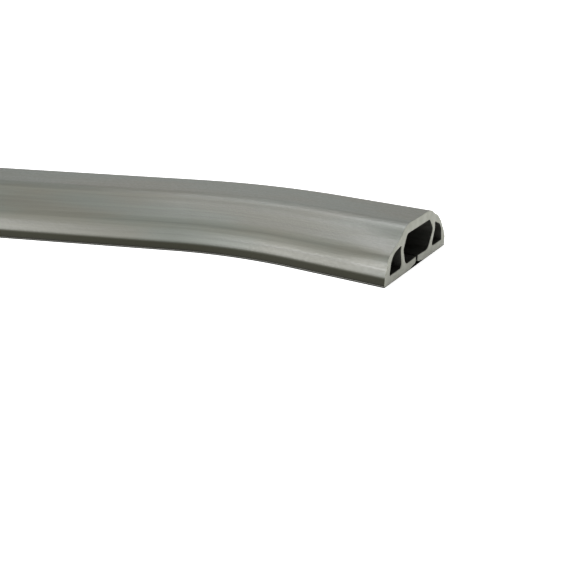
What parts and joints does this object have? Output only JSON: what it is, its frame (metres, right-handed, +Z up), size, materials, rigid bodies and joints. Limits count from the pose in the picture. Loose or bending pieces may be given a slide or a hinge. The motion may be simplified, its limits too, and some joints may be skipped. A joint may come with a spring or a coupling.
{
  "type": "cable channel",
  "caption": "Flexible over-floor cable channel: flat base, ramped flanks, flat top, cable channels along its length and a slit underside, bent sideways near one end.",
  "frame": {"origin": "middle of the footprint's bounding box, on the floor", "axes": "+X along the long straight run, towards the end where the strip bends; +Z up; the strip bends towards -Y at its +X end"},
  "size_m": [1.5324, 0.1058, 0.0254],
  "materials": {
    "grey_vinyl": "warm grey flexible vinyl, satin, with soft streaks along the extrusion and a paler, duller sawn face at each end"
  },
  "bodies": {
    "root": {"channel_strip": "grey_vinyl"}
  },
  "joints": []
}
